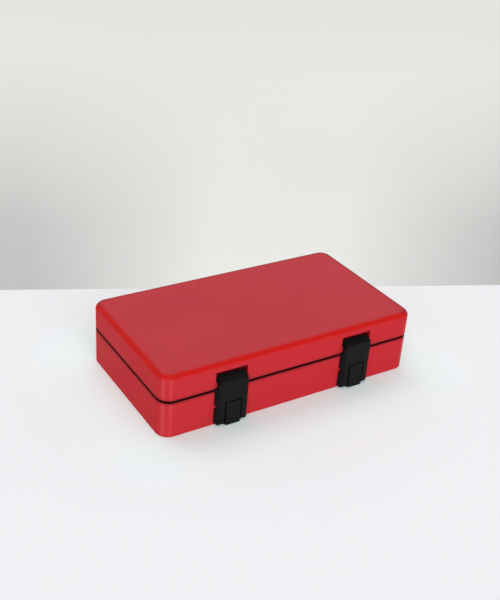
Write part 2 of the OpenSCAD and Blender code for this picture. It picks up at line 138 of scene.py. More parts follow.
# %% Shader helper
class Wire:
    """One output socket of a shader tree."""

    def __init__(self, tree, socket=None):
        self.tree, self.socket = tree, socket

    def add(self, kind, choices=None, values=None, output=0):
        node = self.tree.nodes.new(kind)
        for key, value in (choices or {}).items():
            setattr(node, key, value)
        for key, value in (values or {}).items():
            named = [s for s in node.inputs if s.identifier == key] or [node.inputs[key]]
            if isinstance(value, Wire):
                self.tree.links.new(value.socket, named[0])
            else:
                named[0].default_value = value
        return Wire(self.tree, node.outputs[output])

    def math(self, operation, a, b=0.0):
        return self.add("ShaderNodeMath", {"operation": operation}, {0: a, 1: b})

    def __add__(self, other):
        return self.math("ADD", self, other)

    def __sub__(self, other):
        return self.math("SUBTRACT", self, other)

    def __rsub__(self, other):
        return self.math("SUBTRACT", other, self)

    def __mul__(self, other):
        return self.math("MULTIPLY", self, other)

    def __truediv__(self, other):
        return self.math("DIVIDE", self, other)

    __radd__, __rmul__ = __add__, __mul__

    def unsigned(self):
        """The value without its sign."""
        return self.math("ABSOLUTE", self)

    def larger(self, other):
        return self.math("MAXIMUM", self, other)

    def vector(self, operation, other=(0, 0, 0), output=0):
        choice = {"operation": operation}
        return self.add("ShaderNodeVectorMath", choice, {0: self, 1: other}, output)

    def part(self, axis):
        return self.add("ShaderNodeSeparateXYZ", {}, {"Vector": self}, "XYZ".index(axis))

    def stretched(self, along):
        return self.vector("MULTIPLY", along)

    def noise(self, scale, detail=2.0):
        return self.add(
            "ShaderNodeTexNoise", {}, {"Vector": self, "Scale": scale, "Detail": detail}
        )

    def between(self, low, high):
        """0 below low, 1 above high, and even between them."""
        span = {"Value": self, "From Min": low, "From Max": high}
        return self.add("ShaderNodeMapRange", {"clamp": True}, span)

    def peak(self, centre, width):
        """1 at the centre, falling evenly to 0 at this distance from it."""
        return 1 - (self - centre).unsigned().between(0, width)

    def between_mm(self, low, high):
        return self.between(low * MM, high * MM)

    def peak_mm(self, centre, width):
        return self.peak(centre * MM, width * MM)

    def tint(self, first, second):
        """The first colour where this is 0 and the second where it is 1."""
        mixed = {"Factor_Float": self, "A_Color": first, "B_Color": second}
        return self.add("ShaderNodeMix", {"data_type": "RGBA"}, mixed, 2)


print("signs that add a node: + - * /")

# %% [markdown]
# ### Starting a finish
# Every finish begins alike: a new material, the place of a point on its piece, and a
# shader to plug into. That could be written out each time, but short functions leave
# in each finish only what is special about it. A colour is given as it looks on a
# screen, and `srgb` turns it into the linear one in which light adds up.

# %% Starting a finish
def new_finish(name, slot=""):
    """A material, a wire with its Object coordinates, and its Principled shader."""
    material = bpy.data.materials.new(name)
    material["slot"] = slot
    material.use_nodes = True
    tree = material.node_tree
    shader = tree.nodes["Principled BSDF"]
    return material, Wire(tree).add("ShaderNodeTexCoord", output=3), shader


def connect(shader, **wires):
    """Plugs wires into inputs, whose names are written with _ for a space."""
    for key, wire in wires.items():
        wire.tree.links.new(wire.socket, shader.inputs[key.replace("_", " ")])


def relief(height, depth, strength):
    """A bump normal from a height between 0 and 1 that stands for so many metres."""
    return height.add(
        "ShaderNodeBump", {}, {"Height": height, "Distance": depth, "Strength": strength}
    )


def srgb(red, green, blue):
    """The linear colour of an 8-bit screen colour that is not nearly black."""
    return tuple(((c / 255 + 0.055) / 1.055) ** 2.4 for c in (red, green, blue)) + (1.0,)


print("a screen grey of 128 is %.3f in linear light" % srgb(128, 128, 128)[0])

# %% [markdown]
# ## Light
# A product table is lit by the pale room around it and by soft lamps. One big area
# lamp would do, but its light fades with distance and leaves the backdrop dim. Suns
# with a wide angle are just as soft and are even everywhere: one stands for a window
# to the front left, one for a window high at the back. The room glows at table height
# in front and is dimmer overhead, so level faces, upright faces and bevels reflect
# different things. All of it adds up to about one on the table, so a colour renders
# as it is written.

# %% Light
scene.view_settings.view_transform = "Standard"
ROOM_DIM, ROOM_GLOW = 0.45, 1.0
room = bpy.data.worlds.new("room")
room.use_nodes = True
background = room.node_tree.nodes["Background"]
direction = Wire(room.node_tree).add("ShaderNodeTexCoord")
at_table_height = 1 - direction.part("Z").between(0.1, 0.5)
in_front = 1 - direction.part("Y").between(-0.3, 0.2)
room_tone = (at_table_height * in_front).tint((ROOM_DIM,) * 3 + (1,), (ROOM_GLOW,) * 3 + (1,))
connect(background, Color=room_tone)
scene.world = room


def soft_sun(name, towards, share, width):
    """A sun, so many degrees wide, that gives a facing surface this share of white."""
    data = bpy.data.lights.new(name, "SUN")
    data.energy = share * math.pi
    data.angle = math.radians(width)
    ob = bpy.data.objects.new(name, data)
    ob.matrix_world = Vector(towards).to_track_quat("Z", "Y").to_matrix().to_4x4()
    scene.collection.objects.link(ob)
    print("lamp:", name, "share on the table: %.2f" % (share * Vector(towards).normalized().z))


soft_sun("front_window", (-0.32, -0.75, 0.57), share=0.52, width=60)
soft_sun("back_window", (0.0, 0.65, 0.75), share=0.38, width=60)

# %% [markdown]
# ## Table and backdrop
# The case stands on a white table top that ends a little behind it, in front of a
# pale grey wall. Next to the case the white leans a touch to green, which takes out
# most of the pink that the red walls throw on it. A curved paper sweep would do as
# well, but a table edge gives the picture its horizon.

# %% Where the table ends
EDGE_LEFT, EDGE_RIGHT = Vector((-0.1276, 0.1769, 0)), Vector((0.2622, 0.0099, 0))
SHEET_HALF = 2.5
along_edge = (EDGE_RIGHT - EDGE_LEFT).normalized()
away = Vector((-along_edge.y, along_edge.x, 0))
middle = (EDGE_LEFT + EDGE_RIGHT) / 2


def stage_sheet(name, corners, material):
    """A flat sheet that the case stands on or in front of."""
    mesh = bpy.data.meshes.new(name)
    mesh.from_pydata([tuple(c) for c in corners], [], [tuple(range(len(corners)))])
    mesh.materials.append(material)
    ob = bpy.data.objects.new(name, mesh)
    scene.collection.objects.link(ob)
    return ob


print("the table's far edge runs %.0f mm from the middle of the case" % (middle.dot(away) / MM))

# %% Table
RED_GLOW = 0.06
DULL = 0.1
white_top, place, shader = new_finish("white_table")
mottle = place.noise(900, 3)
off_case = place.vector("ABSOLUTE").vector(
    "SUBTRACT", (HALF_L * MM, HALF_W * MM, 1)
).vector("MAXIMUM")
near_case = 1 - off_case.vector("LENGTH", output=1).between(0, RED_GLOW)
white = place.noise(5, 2).tint(srgb(240, 240, 244), srgb(243, 243, 247))
connect(shader, Base_Color=near_case.tint(white, srgb(240, 255, 255)))
connect(shader, Roughness=mottle * 0.1 + 0.8)
connect(shader, Normal=relief(mottle, depth=0.0001, strength=0.3))
shader.inputs["Specular IOR Level"].default_value = DULL
table = stage_sheet("table", [
    middle - along_edge * SHEET_HALF - away * SHEET_HALF,
    middle + along_edge * SHEET_HALF - away * SHEET_HALF,
    middle + along_edge * SHEET_HALF,
    middle - along_edge * SHEET_HALF,
], white_top)
print("stage:", table.name)

# %% [markdown]
# ### Wall
# The wall is one upright sheet well behind the table. It is painted paler low down,
# where the table keeps the light off it, and darker low down at both sides. Lamps of
# its own could shade it as well, but they would light the case too, so its shades are
# in its paint.

# %% Wall
WALL_AWAY, WALL_DROP, WALL_HEIGHT = 1.2, 1.4, 3.2
WALL_SHIFT = 0.26
wall_paint, place, shader = new_finish("wall_paint")
along_wall = place.vector("DOT_PRODUCT", along_edge, 1) - along_edge.dot(middle) - WALL_SHIFT
to_the_sides = along_wall.unsigned().between(0.15, 0.55)
low_down = 1 - place.part("Z").between(-0.5, -0.12)
low_corner = to_the_sides * low_down + (place.noise(2.5, 1) - 0.5) * 0.25
higher_up = place.part("Z").between(-0.62, -0.05)
wall_grey = higher_up.tint(srgb(228, 228, 225), srgb(209, 209, 205))
connect(shader, Base_Color=low_corner.tint(wall_grey, srgb(189, 190, 187)))
connect(shader, Roughness=place.noise(300) * 0.1 + 0.85)
shader.inputs["Specular IOR Level"].default_value = DULL
wall_foot = middle + away * WALL_AWAY - Vector((0, 0, WALL_DROP))
wall_top = Vector((0, 0, WALL_HEIGHT))
wall = stage_sheet("backdrop", [
    wall_foot - along_edge * SHEET_HALF,
    wall_foot + along_edge * SHEET_HALF,
    wall_foot + along_edge * SHEET_HALF + wall_top,
    wall_foot - along_edge * SHEET_HALF + wall_top,
], wall_paint)
print("stage:", wall.name)

# %% [markdown]
# ## Finish: red plastic
# The shells are red plastic. The top is painted paler, the long walls less so, and
# less still towards the right and on the left end: a painted sheen that stands in
# for the pale room these faces reflect. The bevel of the lid is smooth and is painted
# a deeper red, with less of that sheen. A fine dark line of painted shade follows it
# along the back and right rims of the top. Two pale bands of painted highlight run up
# the corners of the left end, and a thin one just below the foot of the bevel.
# Painted shade darkens the red a little along the seal, and more in the latch
# pockets. A picture of the surface could hold all this, but it would blur close up.
# Here how far a point lies from the core of the case, and how high, tells top, bevel,
# wall and corner apart, at any distance.

# %% Red plastic: where a point lies
satin_red, place, shader = new_finish("satin_red", "red_plastic")
height = place.part("Z")
from_core = place.vector("ABSOLUTE").vector(
    "SUBTRACT", ((HALF_L - CORNER) * MM, (HALF_W - CORNER) * MM, 1)
).vector("MAXIMUM")
reach = from_core.vector("LENGTH", output=1)
bevel_reach = CORNER - BEVEL

on_top = reach.between_mm(1.9, bevel_reach + 0.4)
on_wall = height.between_mm(BEVEL_FOOT - 4.0, BEVEL_FOOT + 0.6)
smooth_band = on_top * on_top * on_top * on_wall * on_wall * on_wall

around = from_core.part("Y") / reach
on_skin = reach.between_mm(CORNER - 0.5, CORNER - 0.2)
left_half = 1 - place.part("X").between(-0.01, 0.01)
end_corners = left_half * on_skin
at_end = end_corners * (1 - around.between(0.05, 0.4))

# Painted shade: a thin dark line on the back and right rims of the top, where the rounding turns
# away from the light.
FAR_FROM, FAR_TO = 12, 4
far_back = place.part("Y").between_mm(HALF_W - FAR_FROM, HALF_W - FAR_TO)
far_right = place.part("X").between_mm(HALF_L - FAR_FROM, HALF_L - FAR_TO)
near_rim = reach.between_mm(bevel_reach - 3.0, bevel_reach - 0.2)
top_face = height.between_mm(CASE_H - 1.1, CASE_H - 0.6)
rim_shade = far_back.larger(far_right) * near_rim * near_rim * top_face
print("bevel foot at %.1f mm, seal at %.1f mm" % (BEVEL_FOOT, SEAL_MIDDLE))

# %% [markdown]
# ### Painted highlights and shade
# Light catches the rounded corners and the foot of the bevel, and shade falls along
# the seal and in the latch pockets; here both are painted into the colour. One mask
# from a pointiness node would do for any object, but it follows the mesh and not
# these places. These masks follow the case.

# %% Red plastic: painted highlights and shade
SEAM_SHADE, END_SEAM_SHADE, POCKET_SHADE = 1.1, 0.2, 0.65
CORNER_HIGHLIGHT, CORNER_SIDE_HIGHLIGHT, EDGE_HIGHLIGHT = 0.5, 0.35, 0.12

# Painted highlights: two pale upright bands on the rounded corners of the left half.
corner_highlights = end_corners * (
    around.peak(0.62, 0.17) * CORNER_HIGHLIGHT + around.peak(0.945, 0.055) * CORNER_SIDE_HIGHLIGHT
)
# Painted highlight: a thin pale line on the walls just below the foot of the bevel.
edge_highlight = height.peak_mm(BEVEL_FOOT - 0.5, 0.9) * on_skin * EDGE_HIGHLIGHT

# Painted shade: the red darkens beside the seal, and a little more below it on the left end.
beside_seal = height.peak_mm(SEAL_MIDDLE, 3.7)
end_seam = at_end * height.peak_mm(RIM_BASE - 0.6, 2.4)
seam_shade = on_skin * (beside_seal * beside_seal * SEAM_SHADE + end_seam * END_SEAM_SHADE)

latch_low, latch_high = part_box("latch_right")
latch_column = (latch_low.x + latch_high.x) / 2
off_latch = (place.vector("ABSOLUTE").part("X") - latch_column).unsigned()
behind_skin = place.part("Y") + HALF_W * MM
# Painted shade inside the latch pockets.
in_pocket = (
    (1 - off_latch.between_mm(POCKET_HALF + 0.2, POCKET_HALF + 0.4))
    * behind_skin.between_mm(0.1, 0.9)
    * (1 - behind_skin.between_mm(POCKET_DEPTH + 0.2, POCKET_DEPTH + 0.4))
    * height.between_mm(RIM_LID + 0.1, RIM_LID + 0.5)
    * (1 - height.between_mm(BEVEL_FOOT - 1.4, BEVEL_FOOT - 1))
)
# The painted shade of the seal and of the pockets, together.
painted_shade = seam_shade.larger(in_pocket * POCKET_SHADE)
print("latch columns at +-%.1f mm" % (latch_column / MM))

# %% [markdown]
# ### Patterns and colours
# Close up, the side walls show faint level streaks, layer on layer, and the top a
# soft unevenness with a few scuffs. A separate pattern for each face would need a
# seam between them. One noise stretched flat gives both, because a side wall cuts
# through its layers and the top lies along them.

# %% Red plastic: patterns and colours
# Painted sheen: the long-wall, end and top reds are one red with more or less of it, the top
# palest and the end deepest.
WALL_RED = (0.456, 0.0190, 0.0275, 1), (0.560, 0.0270, 0.0375, 1)
END_RED = (0.456, 0.0020, 0.0075, 1), (0.560, 0.0080, 0.0165, 1)
SHEEN_TOP_RED = (0.455, 0.0300, 0.0415, 1), (0.541, 0.0450, 0.0580, 1)
BEVEL_RED, BEVEL_END_RED = (0.520, 0.0095, 0.0075, 1), (0.520, 0.0015, 0.0010, 1)
RIM_SHADE_RED, HIGHLIGHT_AND_SCUFF_RED = (0.21, 0.0150, 0.0185, 1), (0.60, 0.075, 0.095, 1)
SHADE_RED = (0.10, 0.008, 0.008, 1)
RIGHT_LESS_SHEEN = 0.3

layers = place.stretched((35, 35, 1500)).noise(1, 3)
bands = place.stretched((20, 20, 480)).noise(1, 2)
cloud = place.noise(22, 3)
grain = place.noise(2600, 2)
streaks = place.stretched((900, 60, 900)).noise(1, 2).between(0.66, 0.74)
scuffs = streaks * cloud.between(0.52, 0.7)

# The painted sheen is weakest on the left end and fades a little towards the right.
less_sheen_side = at_end.larger(place.part("X").between(-0.06, 0.10) * RIGHT_LESS_SHEEN)
wall_shade = bands * 0.45 + layers * 0.35 + cloud * 0.2
wall_colour = less_sheen_side.tint(wall_shade.tint(*WALL_RED), wall_shade.tint(*END_RED))
top_colour = (layers * 0.55 + cloud * 0.45).tint(*SHEEN_TOP_RED)
above_bevel = height.between_mm(BEVEL_FOOT, CASE_H - 0.2)
flat_colour = above_bevel.tint(wall_colour, top_colour)
# The bevel is painted a deeper red, with less painted sheen than the walls and top.
band_colour = at_end.tint(BEVEL_RED, BEVEL_END_RED)
body_colour = rim_shade.tint(smooth_band.tint(flat_colour, band_colour), RIM_SHADE_RED)
# The painted highlights and the real scuffs share one paler red.
highlights_and_scuffs = corner_highlights + edge_highlight + scuffs * 0.2
unshaded_colour = highlights_and_scuffs.tint(body_colour, HIGHLIGHT_AND_SCUFF_RED)
polish = smooth_band * 0.06
# Last, the painted shade darkens the red.
connect(shader, Base_Color=painted_shade.tint(unshaded_colour, SHADE_RED))
connect(shader, Roughness=grain * 0.10 + layers * 0.06 - polish - highlights_and_scuffs * 0.08 + 0.36)
connect(shader, Normal=relief(layers * 0.7 + grain * 0.3, depth=0.00004, strength=0.5))
shader.inputs["IOR"].default_value = 1.16
print("finish:", satin_red.name)

# %% [markdown]
# ## Finish: black plastic
# The latches are black and duller than the shells, with the fine even grain of a
# spark-eroded mould. A mottled colour would look like dirt on it. It is close to
# black all over, so its shape reads from faint changes of gloss instead.

# %% Black plastic
BLACK = (0.0042, 0.0038, 0.0040, 1), (0.0072, 0.0066, 0.0070, 1)
grained_black, place, shader = new_finish("grained_black", "black_plastic")
spark_grain = place.noise(3200, 3)
handled = place.noise(60, 2)
connect(shader, Base_Color=handled.tint(*BLACK))
connect(shader, Roughness=spark_grain * 0.16 + handled * 0.08 + 0.42)
connect(shader, Normal=relief(spark_grain, depth=0.00004, strength=0.45))
shader.inputs["IOR"].default_value = 1.19
print("finish:", grained_black.name)

# %% [markdown]
# ## Finishes: rubber and steel
# The seal is matt black rubber with a little dust. The hinge leaves and the strikes
# are steel in black paint, slightly orange-peeled. The hinge pins and screws are
# drawn steel, whose fine lines run along the wire, so the noise is stretched along X.
# The pins of the latches are the same wire, blackened, so that they don't show. One
# dark grey for all of them would be simpler, but rubber, paint and wire differ most in
# how they catch the light.

# %% Rubber and steel
RUBBER = (0.0080, 0.0010, 0.0010, 1), (0.0170, 0.0024, 0.0024, 1)
PAINT = (0.011, 0.011, 0.012, 1), (0.019, 0.019, 0.020, 1)
BARE_STEEL = (0.50, 0.50, 0.51, 1), (0.60, 0.60, 0.61, 1)
BLACKENED = (0.010, 0.010, 0.011, 1), (0.020, 0.020, 0.021, 1)

matt_rubber, place, shader = new_finish("matt_rubber", "seal_rubber")
dust = place.noise(400, 3)
connect(shader, Base_Color=dust.tint(*RUBBER))
connect(shader, Roughness=dust * 0.1 + 0.75)
connect(shader, Normal=relief(dust, depth=0.00003, strength=0.4))
shader.inputs["Specular IOR Level"].default_value = 0.02

painted_steel, place, shader = new_finish("painted_steel", "black_steel")
peel = place.noise(1100, 2)
connect(shader, Base_Color=place.noise(90, 2).tint(*PAINT))
connect(shader, Roughness=peel * 0.12 + 0.32)
connect(shader, Normal=relief(peel, depth=0.00003, strength=0.5))
shader.inputs["Specular IOR Level"].default_value = 0.45


def wire_finish(name, colours, smoothest, metallic):
    """Drawn steel wire, whose fine lines run along X."""
    material, place, shader = new_finish(name, "pin_steel")
    drawn = place.stretched((150, 9000, 9000)).noise(1, 2)
    connect(shader, Base_Color=place.noise(300, 2).tint(*colours))
    connect(shader, Roughness=drawn * 0.18 + smoothest)
    connect(shader, Normal=relief(drawn, depth=0.00001, strength=0.4))
    shader.inputs["Metallic"].default_value = metallic
    return material


drawn_steel = wire_finish("drawn_steel", BARE_STEEL, smoothest=0.22, metallic=1)
blackened_steel = wire_finish("blackened_steel", BLACKENED, smoothest=0.38, metallic=0)
for finish in (matt_rubber, painted_steel, drawn_steel, blackened_steel):
    print("finish:", finish.name)

# %% [markdown]
# ## From a part to a piece
# Every piece that is made here stands for one part of the construction: it takes that
# part's place, moves with its body and wears a finish. Some pieces carry a modifier or
# a tree while they are made, and those are turned into plain mesh first, so that what
# moves is a finished shape. Both could be done where each piece is made, but in one
# place nothing is left out.

# %% From a part to a piece
def hand_over(piece, finish, replaced):
    """Gives a piece its finish and its body, and hides the construction part it stands for."""
    piece.data.materials.clear()
    piece.data.materials.append(finish)
    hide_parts(replaced)
    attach(piece, body_of[replaced])


def settled(piece):
    """Swaps a piece's modifiers for the plain mesh that they make."""
    evaluated = piece.evaluated_get(bpy.context.evaluated_depsgraph_get())
    mesh = bpy.data.meshes.new_from_object(evaluated)
    piece.modifiers.clear()
    piece.data = mesh
    mesh.name = piece.name
    return piece


print("parts that a piece can stand for:", len(nodes))

# %% [markdown]
# ## Rounding the edges
# No moulded or stamped part has a knife edge: a small radius catches the light and
# makes an edge read as real. Each construction part is copied, its loose triangles
# are joined and its flat faces made whole, and then the chosen edges are bevelled.
# The Bevel modifier would round every edge, also in the slits between moving parts,
# so here each part says which of its edges are rounded. Weighted normals keep the
# large faces flat. The bevel stores its faces in an order of its own, which changes
# from run to run, so they are sorted afterwards.

# %% Rounded copy of a part
WELD = 0.002
FLAT, BEVELLED, SMOOTH = math.radians(0.6), math.radians(25), math.radians(40)
MANY_CORNERS = 100000


def face_rank(face):
    """A number that puts the faces in the same order in every run."""
    first, second, third = sorted(v.index for v in face.verts)[:3]
    return (first * MANY_CORNERS + second) * MANY_CORNERS + third


def smooth_between_sharp(bm, limit):
    """Marks the edges that turn by less than a limit as smooth and the others as sharp."""
    for edge in bm.edges:
        edge.smooth = len(edge.link_faces) == 2 and edge.calc_face_angle(0) < limit


def rounded_copy(part, name, steps):
    """A copy of a part whose edges are rounded in steps of (radius in mm, segments, which)."""
    bm = bmesh.new()
    bm.from_mesh(nodes[part].data)
    bmesh.ops.remove_doubles(bm, verts=bm.verts, dist=WELD * MM)
    bmesh.ops.dissolve_limit(bm, angle_limit=FLAT, verts=bm.verts, edges=bm.edges)
    count = 0
    for radius, segments, which in steps:
        chosen = [
            e for e in bm.edges
            if len(e.link_faces) == 2
            and e.calc_face_angle_signed(0) > BEVELLED
            and which(*(v.co / MM for v in e.verts))
        ]
        count += len(chosen)
        bmesh.ops.bevel(
            bm, geom=chosen, offset=radius * MM, offset_type="OFFSET", segments=segments,
            profile=0.5, affect="EDGES", clamp_overlap=True, miter_outer="ARC",
        )
    bm.verts.index_update()
    bm.faces.sort(key=face_rank)
    for face in bm.faces:
        face.smooth = True
    smooth_between_sharp(bm, SMOOTH)
    mesh = bpy.data.meshes.new(name)
    bm.to_mesh(mesh)
    bm.free()
    piece = bpy.data.objects.new(name, mesh)
    scene.collection.objects.link(piece)
    weighted = piece.modifiers.new("weighted", "WEIGHTED_NORMAL")
    weighted.keep_sharp = True
    settled(piece)
    print(name, "rounded edges:", count, "faces:", len(piece.data.polygons))
    return piece


print("edges that turn more than %.0f degrees can be rounded" % math.degrees(BEVELLED))

# %% [markdown]
# ## The two shells
# The lid is a shallow tray turned over, with a bevel around its top and a pocket for
# each latch; the base is a deeper tray. The bevel's two long edges are the roundest,
# as on any mould that is polished by hand, and the rims beside the seal are nearly
# sharp. One radius for all edges would be quicker, but it would open the seal line.

# %% Shells
NEAR = 0.02
POCKET_TOP = 42


def edge_at(z):
    """Picks the edges that lie level at this height."""
    return lambda a, b: abs(a.z - z) < NEAR and abs(b.z - z) < NEAR


def rim_at(z):
    """Picks the edges of a rim on the outer skin of the side walls."""
    def picks(a, b):
        outside = (
            abs(v.x) > HALF_L - CORNER - 0.1 or abs(v.y) > HALF_W - NEAR for v in (a, b)
        )
        return edge_at(z)(a, b) and all(outside)
    return picks


def pocket_edge(a, b):
    """The upper and side edges of the latch pockets on the front wall."""
    return all(abs(v.y + HALF_W) < NEAR and RIM_LID < v.z < POCKET_TOP for v in (a, b))


lid = rounded_copy("lid_shell", "lid", [
    (1.8, 6, edge_at(CASE_H)),
    (1.0, 5, edge_at(BEVEL_FOOT)),
    (0.45, 3, rim_at(RIM_LID)),
    (0.2, 2, pocket_edge),
])
base = rounded_copy("base_shell", "base", [
    (0.5, 3, edge_at(0)),
    (0.45, 3, rim_at(RIM_BASE)),
])
hand_over(lid, satin_red, "lid_shell")
hand_over(base, satin_red, "base_shell")

# %% [markdown]
# ## Latches
# Each latch is a thick black lever with a sloping top, and a trigger set into its
# lower half. Only the edges that a finger meets are rounded. The knuckle and the
# inside could be rounded too, but nothing shows there, and their slits are narrow, so
# they keep the construction's own faces.

# %% Latches and triggers
LEVER_FRONT, TRIGGER_FRONT = -HALF_W - 1.8, -HALF_W - 3.6
LEVER_HEAD = 33


def lever_edge(a, b):
    """The edges of the lever's face, and of its head above the pivot."""
    return all(v.y < LEVER_FRONT for v in (a, b)) or all(v.z > LEVER_HEAD for v in (a, b))


def trigger_edge(a, b):
    """The edges of the tab that stands out of the lever."""
    return all(v.y < TRIGGER_FRONT for v in (a, b))


for hand in ("left", "right"):
    lever = rounded_copy("latch_" + hand, "lever_" + hand, [(0.22, 2, lever_edge)])
    hand_over(lever, grained_black, "latch_" + hand)
    pull = rounded_copy("trigger_" + hand, "pull_" + hand, [(0.25, 3, trigger_edge)])
    hand_over(pull, grained_black, "trigger_" + hand)

# %% [markdown]
# ## Strikes and hinges
# A strike is a small bent plate that the trigger's claw hooks under. A hinge is two
# leaves with rolled knuckles around one pin. They are stamped from steel sheet and
# painted, so their outer edges are barely broken. They are small and plain, so all
# their edges are rounded alike, with no choosing.

# %% Strikes and hinge leaves
def any_edge(a, b):
    """Picks every edge."""
    return True


for hand in ("left", "right"):
    plate = rounded_copy("strike_" + hand, "plate_" + hand, [(0.12, 2, any_edge)])
    hand_over(plate, painted_steel, "strike_" + hand)
    for leaf in ("hinge_base_leaf_", "hinge_lid_leaf_"):
        flap = rounded_copy(leaf + hand, leaf.replace("hinge_", "") + hand, [(0.15, 2, any_edge)])
        hand_over(flap, painted_steel, leaf + hand)

# %% [markdown]
# ## Seal
# The seal is one closed rubber cord of square section with softened corners, and a
# tongue on top that sits in a groove of the lid. It follows the outline of the case,
# so Geometry Nodes sweep a small profile along a rounded rectangle. A chain of
# extruded faces would look the same, but the sweep keeps every size as an input.

# %% Geometry Nodes helper
def new_tree(name, inputs):
    """A Geometry Nodes tree with named inputs; gives the tree and a wire for each input."""
    tree = bpy.data.node_groups.new(name, "GeometryNodeTree")
    for label, kind in inputs:
        tree.interface.new_socket(label, in_out="INPUT", socket_type="NodeSocket" + kind)
    tree.interface.new_socket("Geometry", in_out="OUTPUT", socket_type="NodeSocketGeometry")
    given = tree.nodes.new("NodeGroupInput")
    return tree, {label: Wire(tree, given.outputs[label]) for label, kind in inputs}


def close_tree(tree, geometry, finish):
    """Ends a tree: real geometry, smooth faces and one finish."""
    real = geometry.add("GeometryNodeRealizeInstances", {}, {"Geometry": geometry})
    smooth = real.add("GeometryNodeSetShadeSmooth", {}, {"Geometry": real})
    painted = smooth.add("GeometryNodeSetMaterial", {}, {"Geometry": smooth, "Material": finish})
    end = tree.nodes.new("NodeGroupOutput")
    tree.links.new(painted.socket, end.inputs[0])


def grown(name, tree, values):
    """The plain mesh that a tree makes from these values."""
    piece = bpy.data.objects.new(name, bpy.data.meshes.new(name))
    scene.collection.objects.link(piece)
    modifier = piece.modifiers.new("grow", "NODES")
    modifier.node_group = tree
    for socket in tree.interface.items_tree:
        if socket.in_out == "INPUT":
            modifier[socket.identifier] = values[socket.name]
    settled(piece)
    print(name, "faces:", len(piece.data.polygons))
    return piece


# %% Seal: the sweep
seal_tree, seal_in = new_tree("swept_seal", [
    ("Length", "Float"), ("Depth", "Float"), ("Corner Radius", "Float"),
    ("Seal Width", "Float"), ("Seal Height", "Float"), ("Softness", "Float"),
    ("Tongue Width", "Float"), ("Tongue Height", "Float"), ("Level", "Float"),
    ("Finish", "Material"),
])


def rounded_frame(width, height, radius, count):
    """A rectangle with rounded corners, each of so many points."""
    box = width.add(
        "GeometryNodeCurvePrimitiveQuadrilateral", {"mode": "RECTANGLE"},
        {"Width": width, "Height": height},
    )
    return box.add(
        "GeometryNodeFilletCurve", {"mode": "POLY"},
        {"Curve": box, "Radius": radius, "Count": count},
    )


def lifted(geometry, height):
    """The geometry, moved up by a height."""
    shift = height.add("ShaderNodeCombineXYZ", {}, {"Z": height})
    return geometry.add(
        "GeometryNodeTransform", {}, {"Geometry": geometry, "Translation": shift}
    )


TONGUE_SINK = 0.05
path = rounded_frame(seal_in["Length"], seal_in["Depth"], seal_in["Corner Radius"], 20)
section = rounded_frame(seal_in["Seal Width"], seal_in["Seal Height"], seal_in["Softness"], 4)
body = path.add("GeometryNodeCurveToMesh", {}, {"Curve": path, "Profile Curve": section})
tongue_section = rounded_frame(
    seal_in["Tongue Width"], seal_in["Tongue Height"], seal_in["Softness"] * 0.5, 3
)
tongue = path.add("GeometryNodeCurveToMesh", {}, {"Curve": path, "Profile Curve": tongue_section})
half_heights = (seal_in["Seal Height"] + seal_in["Tongue Height"]) * 0.5
tongue = lifted(tongue, half_heights - TONGUE_SINK * MM)
both = body.add("GeometryNodeJoinGeometry", {}, {"Geometry": body})
seal_tree.links.new(tongue.socket, both.socket.node.inputs["Geometry"])
close_tree(seal_tree, lifted(both, seal_in["Level"]), seal_in["Finish"])
print("inputs of the seal tree:", ", ".join(seal_in))

# %% [markdown]
# ### The seal's sizes
# The cord is as high as the gap between the two rims, and as wide as the wall less
# the little that it is set back from the outer skin. Its sizes could all be written as
# numbers, but those that follow from the case are worked out from it, so they stay
# right when the case changes. The height of the tongue is taken from the part itself.

# %% Seal: its sizes
SEAL_INSET = 0.3
low, high = (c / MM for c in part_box("lid_seal"))
centre_line = SEAL_INSET + (WALL - SEAL_INSET) / 2
seal = grown("rubber_seal", seal_tree, {
    "Length": 2 * (HALF_L - centre_line) * MM,
    "Depth": 2 * (HALF_W - centre_line) * MM,
    "Corner Radius": (CORNER - centre_line) * MM,
    "Seal Width": (WALL - SEAL_INSET) * MM,
    "Seal Height": (RIM_LID - RIM_BASE) * MM,
    "Softness": 0.35 * MM,
    "Tongue Width": 1.2 * MM,
    "Tongue Height": (high.z - RIM_LID) * MM,
    "Level": SEAL_MIDDLE * MM,
    "Finish": matt_rubber,
})
hand_over(seal, matt_rubber, "lid_seal")
seal_low, seal_high = (Vector(seal.bound_box[corner]) / MM for corner in (0, 6))
off = (*(seal_low - low), *(seal_high - high))
print("seal is off its part by (mm):", [round(v, 3) for v in off])

# %% [markdown]
# ## Screws
# Twelve countersunk screws hold the hinges and the strikes. One screw is lathed from
# its outline and gets a cross recess; Geometry Nodes set it out in pairs and turn
# each one by its own amount, as a hand-driven screw ends up. Copying objects by hand
# would work for twelve, but then their places would be numbers without a reason.

# %% One screw
SIDES = 32
RIM_BREAK, TIP_BREAK = 0.05, 0.3


